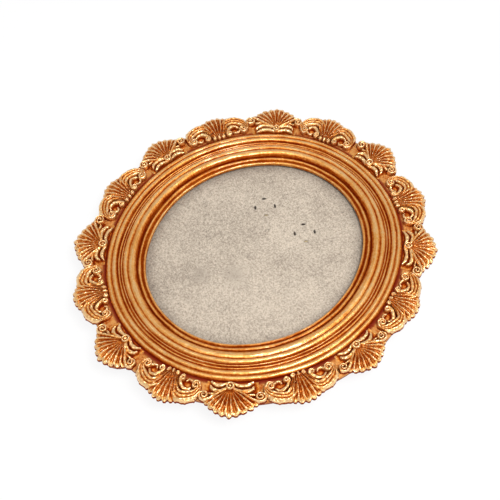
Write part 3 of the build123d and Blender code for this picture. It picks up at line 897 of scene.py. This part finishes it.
def prong_marks():
    """Each prong's end, the way it faces and how dark its mark is; one of each four is pale."""
    tops = prong_tops()
    marks = []
    for top in tops:
        group = [other for other in tops if (other - top).length < RIVET_WIDE]
        out = (top - sum(group, Vector()) / len(group)).normalized()
        # worn here means the prong on the side towards the camera, whose mark is pale
        worn = out.dot(TOWARDS_CAMERA) > TOWARDS_CAMERA_WITHIN
        marks.append((top, math.atan2(out.y, out.x), PALE_MARK if worn else 1.0))
    return marks


def greyboard():
    """Pulp board from mixed waste paper: matt, clouded grey, with fibres, dark flecks, smudges and
    painted shade of the lip round the sight edge.

    The fibres are drawn coarser than real ones, so that they show at the size of the photo.
    """
    tone = settings().board
    material, tree = new_material("greyboard_pulp")
    where = (add(tree, "TexCoord"), "Object")
    place = {"Vector": where}
    cloud = add(tree, "TexNoise", {"Scale": per(14.0), "Detail": 6.0, "Roughness": 0.7}, place)
    fibre = add(tree, "TexNoise", {"Scale": per(0.62), "Detail": 3.0, "Roughness": 0.8}, place)
    both = add(tree, "Mix", {0: 0.72}, {2: (cloud, 0), 3: (fibre, 0)})
    ramp = add(tree, "ValToRGB", {}, {0: (both, 0)})
    set_ends(ramp, (0.32, tone.grey), (0.60, tone.pale))
    fleck = add(tree, "TexNoise", {"Scale": per(1.5), "Detail": 2.0, "Roughness": 0.8}, place)
    dark = add(tree, "MapRange", {1: 0.64, 2: 0.76, 3: 0.0, 4: 0.5}, {0: (fleck, 0)})
    patchy = add(tree, "MapRange", {1: 0.42, 2: 0.60, 3: 0.0, 4: 0.34}, {0: (fibre, 0)})
    for x, y, radius in SMUDGES:
        spot = Vector((x, y, BOARD_FRONT)) * MM
        away = add(tree, "VectorMath", {1: spot}, {0: where}, operation="DISTANCE")
        near = add(tree, "MapRange", {1: 0.0, 2: radius * MM, 3: 1.0, 4: 0.0}, {0: (away, "Value")})
        rubbed = add(tree, "Math", {}, {0: (near, 0), 1: (patchy, 0)}, operation="MULTIPLY")
        dark = add(tree, "Math", {}, {0: (dark, 0), 1: (rubbed, 0)}, operation="MAXIMUM")
    # Painted shade of the lip: the front of the board darkens towards the sight edge
    share = Vector((1 / HALF_WIDTH, 1 / HALF_LENGTH, 0)) / MM
    oval = add(tree, "VectorMath", {1: share}, {0: where}, operation="MULTIPLY")
    out = add(tree, "VectorMath", {}, {0: (oval, 0)}, operation="LENGTH")
    level = add(tree, "SeparateXYZ", {}, {0: where})
    front_only = {1: (BOARD_FRONT - 0.3) * MM, 2: (BOARD_FRONT - 0.1) * MM, 3: 0.0, 4: 0.3}
    facing = add(tree, "MapRange", front_only, {0: (level, "Z")})
    near_rim = {1: 0.88, 2: 1.0}
    rim = add(tree, "MapRange", near_rim, {0: (out, "Value")}, interpolation_type="SMOOTHSTEP")
    lip_shade = add(tree, "Math", {}, {0: (facing, 0), 1: (rim, 0)}, operation="MULTIPLY")
    dark = add(tree, "Math", {}, {0: (dark, 0), 1: (lip_shade, 0)}, operation="MAXIMUM")
    # Painted shade of the slits round the prongs' ends, pale on the side towards the camera
    for spot, turn, strength in prong_marks():
        laid = {"Location": spot, "Rotation": (0, 0, turn), "Scale": SLIT_SHADE_MARK}
        slit = add(tree, "Mapping", laid, place, vector_type="TEXTURE")
        away = add(tree, "VectorMath", {}, {0: (slit, 0)}, operation="LENGTH")
        slit_shade = add(tree, "MapRange", {1: 0.5, 2: 1.0, 3: strength, 4: 0.0}, {0: (away, "Value")})
        dark = add(tree, "Math", {}, {0: (dark, 0), 1: (slit_shade, 0)}, operation="MAXIMUM")
    tinted = add(tree, "Mix", {7: tone.speck_and_shade}, {0: (dark, 0), 6: (ramp, 0)}, data_type="RGBA")
    bump = add(tree, "Bump", {"Strength": 0.6, "Distance": 0.08 * MM}, {"Height": (fibre, 0)})
    shader = add(
        tree, "BsdfPrincipled", {"Roughness": 0.9}, {"Base Color": (tinted, 2), "Normal": (bump, 0)}
    )
    return show(material, shader)


def clear_sheet():
    """Thin clear acrylic: nearly unseen over the board, with only a faint gloss."""
    tone = settings().board
    material, tree = new_material("clear_acrylic_sheet")
    haze = add(tree, "TexNoise", {"Scale": per(30.0)}, {"Vector": (add(tree, "TexCoord"), "Object")})
    rough = add(tree, "MapRange", {3: 0.08, 4: 0.14}, {0: (haze, 0)})
    clear = {"Base Color": tone.sheet, "Alpha": 0.03, "IOR": 1.49}
    shader = add(tree, "BsdfPrincipled", clear, {"Roughness": (rough, 0)})
    return show(material, shader)


def plated_steel():
    """Pressed steel, brass plated and tumbled: an even, pale yellow shine with fine scuffs."""
    tone = settings().board
    material, tree = new_material("plated_steel_tumbled")
    place = {"Vector": (add(tree, "TexCoord"), "Object")}
    scuff = add(tree, "TexNoise", {"Scale": per(1.6), "Detail": 5.0, "Roughness": 0.7}, place)
    rough = add(tree, "MapRange", {1: 0.3, 2: 0.7, 3: 0.26, 4: 0.46}, {0: (scuff, 0)})
    ramp = add(tree, "ValToRGB", {}, {0: (scuff, 0)})
    set_ends(ramp, (0.30, tone.scuffed), (0.60, tone.steel))
    bump = add(tree, "Bump", {"Strength": 0.15, "Distance": 0.03 * MM}, {"Height": (scuff, 0)})
    shader = add(
        tree,
        "BsdfPrincipled",
        {"Metallic": 1.0},
        {"Base Color": (ramp, 0), "Roughness": (rough, 0), "Normal": (bump, 0)},
    )
    return show(material, shader)


def rusted_steel():
    """Steel rusted black-brown where the plating was cut: matt, with rough reddish spots."""
    tone = settings().board
    material, tree = new_material("steel_rusted_black")
    place = {"Vector": (add(tree, "TexCoord"), "Object")}
    spot = add(tree, "TexNoise", {"Scale": per(0.4), "Detail": 4.0}, place)
    ramp = add(tree, "ValToRGB", {}, {0: (spot, 0)})
    set_ends(ramp, (0.45, tone.rust), (0.75, tone.red_rust))
    dull = {"Metallic": 0.2, "Roughness": 0.8}
    shader = add(tree, "BsdfPrincipled", dull, {"Base Color": (ramp, 0)})
    return show(material, shader)


def studio_paper():
    """White studio paper, matt: seen as an even white, with only a soft shadow."""
    looks = settings().stage
    material, tree = new_material("white_studio_paper")
    seen = add(tree, "LightPath")
    rays = {0: (seen, "Is Camera Ray"), 1: (seen, "Is Glossy Ray")}
    shown = add(tree, "Math", {}, rays, operation="MAXIMUM")
    rays = {0: (shown, 0), 1: (seen, "Is Transmission Ray")}
    shown = add(tree, "Math", {}, rays, operation="MAXIMUM")
    lifted = add(tree, "Math", {1: FLOOR_GLOW}, {0: (shown, 0)}, operation="MULTIPLY")
    paper = add(tree, "BsdfDiffuse", {"Color": looks.paper})
    glow = add(tree, "Emission", {"Color": looks.white, "Strength": 1.0})
    return show(material, add(tree, "MixShader", {}, {0: (lifted, 0), 1: (paper, 0), 2: (glow, 0)}))


def once(name, make, *arguments):
    """The material of that name, made the first time that it is asked for."""
    return bpy.data.materials.get(name) or make(*arguments)


# Operators, one for each piece or group of like pieces


def carve_all(kind, first, height_of, half, tall):
    """Carves every second ornament, from the first of its kind."""
    leaf = once("gilt_carving", gilt, "gilt_carving", False)
    carving = draw_carving(height_of, half, tall)
    for index in range(first, ORNAMENTS, 2):
        bm = bmesh.new()
        carve(bm, carving, index, half, tall)
        node = f"{kind}_{index // 2 + 1}"
        finish_piece(bm, "carved_" + node, "frame", [node], [leaf])


class FRAME_OT_moulding(bpy.types.Operator):
    """Makes the oval moulding and the scalloped flange round it"""

    bl_idname = "oval_frame.moulding"
    bl_label = "Moulding"

    def execute(self, context):
        bm = bmesh.new()
        grow_moulding(bm)
        leaf = once("gilt_moulding", gilt, "gilt_moulding", True)
        ground = once("bronze_paint_ground", gilt_ground)
        middles = np.array([face.calc_center_median() for face in bm.faces])
        offset = oval_place(middles[:, 0], middles[:, 1])[1]
        plain = (offset > EDGE - 0.1) & (middles[:, 2] < FLANGE_FRONT + 0.1)
        plain |= middles[:, 2] < LIP_BACK - 0.1
        for face, is_plain in zip(bm.faces, plain):
            face.material_index = int(is_plain)
        coats = [leaf, ground]
        finish_piece(bm, "gilt_moulding", "frame", ["frame_moulding"], coats, sharp=60)
        return {"FINISHED"}


class FRAME_OT_palmettes(bpy.types.Operator):
    """Carves the eight palmettes"""

    bl_idname = "oval_frame.palmettes"
    bl_label = "Palmettes"

    def execute(self, context):
        carve_all("palmette", 0, palmette_height, PALMETTE_HALF, PALMETTE_TALL)
        return {"FINISHED"}


class FRAME_OT_cartouches(bpy.types.Operator):
    """Carves the eight cartouches between the palmettes"""

    bl_idname = "oval_frame.cartouches"
    bl_label = "Cartouches"

    def execute(self, context):
        carve_all("cartouche", 1, cartouche_height, CARTOUCHE_HALF, CARTOUCHE_TALL)
        return {"FINISHED"}


class FRAME_OT_picture_space(bpy.types.Operator):
    """Finishes the clear sheet and the backing board"""

    bl_idname = "oval_frame.picture_space"
    bl_label = "Sheet and board"

    def execute(self, context):
        clear = once("clear_acrylic_sheet", clear_sheet)
        pulp = once("greyboard_pulp", greyboard)
        sheet = soften("glazing_sheet", "clear_sheet", "frame", clear, SHEET_EDGE)
        soften("backing_board", "pulp_board", "frame", pulp, SHEET_EDGE)
        middle = (BOARD_FRONT + LIP_BACK) / 2 * MM
        for vert in sheet.data.vertices:
            vert.co.z += SHEET_GAP * MM * (1 if vert.co.z < middle else -1)
        sheet.data.update()
        return {"FINISHED"}


class FRAME_OT_fittings(bpy.types.Operator):
    """Finishes the easel, the turn buttons and the hanger"""

    bl_idname = "oval_frame.fittings"
    bl_label = "Fittings"

    def execute(self, context):
        steel = once("plated_steel_tumbled", plated_steel)
        board = once("greyboard_pulp", greyboard)
        for node in ("board_leaf", "board_rivets", "hinge_pin", "hanger_plate"):
            soften(node, "plated_" + node, "frame", steel)
        for node in ("button_screws", "hanger_screw"):
            soften(node, "plated_" + node, "frame", steel, slotted=True)
        for node in ("strut_leaf", "strut_rivets"):
            soften(node, "plated_" + node, "easel", steel)
        rivets = bpy.data.objects["plated_board_rivets"].data
        rivets.materials.append(once("steel_rusted_black", rusted_steel))
        # Prong ends on the side towards the camera keep their plating, so that their slit marks stay
        # pale
        worn = [top for top, _, strength in prong_marks() if strength < 1]
        for polygon in rivets.polygons:
            bare = polygon.center.z < (BACK + BOARD_FRONT) / 2 * MM
            bare |= any((polygon.center - top).length < PRONG_WIDE for top in worn)
            polygon.material_index = int(not bare)
        soften("easel_strut", "board_strut", "easel", board, STRUT_EDGE)
        for index in range(1, BUTTONS + 1):
            node, body = f"turn_button_{index}", f"button_{index}"
            soften(node, "plated_" + body, body, steel)
        return {"FINISHED"}


class FRAME_OT_stage(bpy.types.Operator):
    """Sets the floor, the soft light and the camera"""

    bl_idname = "oval_frame.stage"
    bl_label = "Stage"

    def execute(self, context):
        looks = settings().stage
        scene = context.scene
        scene.view_settings.view_transform = "Standard"
        bm = bmesh.new()
        bmesh.ops.create_grid(bm, x_segments=1, y_segments=1, size=FLOOR_HALF)
        mesh = bpy.data.meshes.new("studio_floor")
        bm.to_mesh(mesh)
        bm.free()
        floor = bpy.data.objects.new("studio_floor", mesh)
        scene.collection.objects.link(floor)
        mesh.materials.append(once("white_studio_paper", studio_paper))

        world = bpy.data.worlds.new("studio_white")
        scene.world = world
        world.use_nodes = True
        tree = world.node_tree
        tree.nodes.clear()
        height = add(tree, "SeparateXYZ", {}, {0: (add(tree, "TexCoord"), "Generated")})
        climb = {1: 0.2, 2: 0.6, 3: looks.rim, 4: looks.fill}
        level = add(tree, "MapRange", climb, {0: (height, "Z")})
        sky = add(tree, "Background", {"Color": looks.white}, {"Strength": (level, 0)})
        add(tree, "OutputWorld", {}, {"Surface": (sky, 0)})

        lamp = bpy.data.lights.new("key_softbox", "AREA")
        lamp.shape, lamp.size, lamp.size_y = "RECTANGLE", LAMP_WIDE, LAMP_WIDE
        lamp.energy = looks.key
        key = bpy.data.objects.new("key_softbox", lamp)
        key.location = LAMP_PLACE
        key.rotation_euler = (-key.location).to_track_quat("-Z", "Y").to_euler()
        scene.collection.objects.link(key)

        lens = bpy.data.cameras.new("photo_camera")
        lens.lens, lens.sensor_width = CAMERA_LENS, CAMERA_SENSOR
        lens.shift_x, lens.shift_y = CAMERA_SHIFT
        lens.clip_start = CAMERA_CLIP
        camera = bpy.data.objects.new("photo_camera", lens)
        back = Vector((
            math.sin(CAMERA_AZIMUTH) * math.cos(CAMERA_ELEVATION),
            -math.cos(CAMERA_AZIMUTH) * math.cos(CAMERA_ELEVATION),
            math.sin(CAMERA_ELEVATION),
        ))
        camera.location = CAMERA_TARGET + back * CAMERA_AWAY
        camera.rotation_euler = (-back).to_track_quat("-Z", "Y").to_euler()
        scene.collection.objects.link(camera)
        scene.camera = camera
        return {"FINISHED"}


OPERATORS = (
    FRAME_OT_moulding,
    FRAME_OT_palmettes,
    FRAME_OT_cartouches,
    FRAME_OT_picture_space,
    FRAME_OT_fittings,
    FRAME_OT_stage,
)


class FRAME_PT_panel(bpy.types.Panel):
    """Lists the frame's settings and the steps that make it"""

    bl_idname = "FRAME_PT_panel"
    bl_label = "Oval frame"
    bl_space_type = "VIEW_3D"
    bl_region_type = "UI"
    bl_category = "Oval frame"

    def draw(self, context):
        for group in ("gilding", "board", "carving", "stage"):
            box = self.layout.box()
            holder = getattr(settings(), group)
            for name in holder.__annotations__:
                box.prop(holder, name)
        for operator in OPERATORS:
            self.layout.operator(operator.bl_idname)


CLASSES = (
    GildingColours,
    BoardColours,
    CarvingSizes,
    StageLooks,
    FrameSettings,
    *OPERATORS,
    FRAME_PT_panel,
)


def register():
    for made in CLASSES:
        bpy.utils.register_class(made)
    bpy.types.Scene.oval_frame = PointerProperty(type=FrameSettings)


def unregister():
    del bpy.types.Scene.oval_frame
    for made in reversed(CLASSES):
        bpy.utils.unregister_class(made)


def main():
    register()
    bpy.ops.oval_frame.moulding()
    bpy.ops.oval_frame.palmettes()
    bpy.ops.oval_frame.cartouches()
    bpy.ops.oval_frame.picture_space()
    bpy.ops.oval_frame.fittings()
    bpy.ops.oval_frame.stage()


if __name__ == "__main__":
    main()
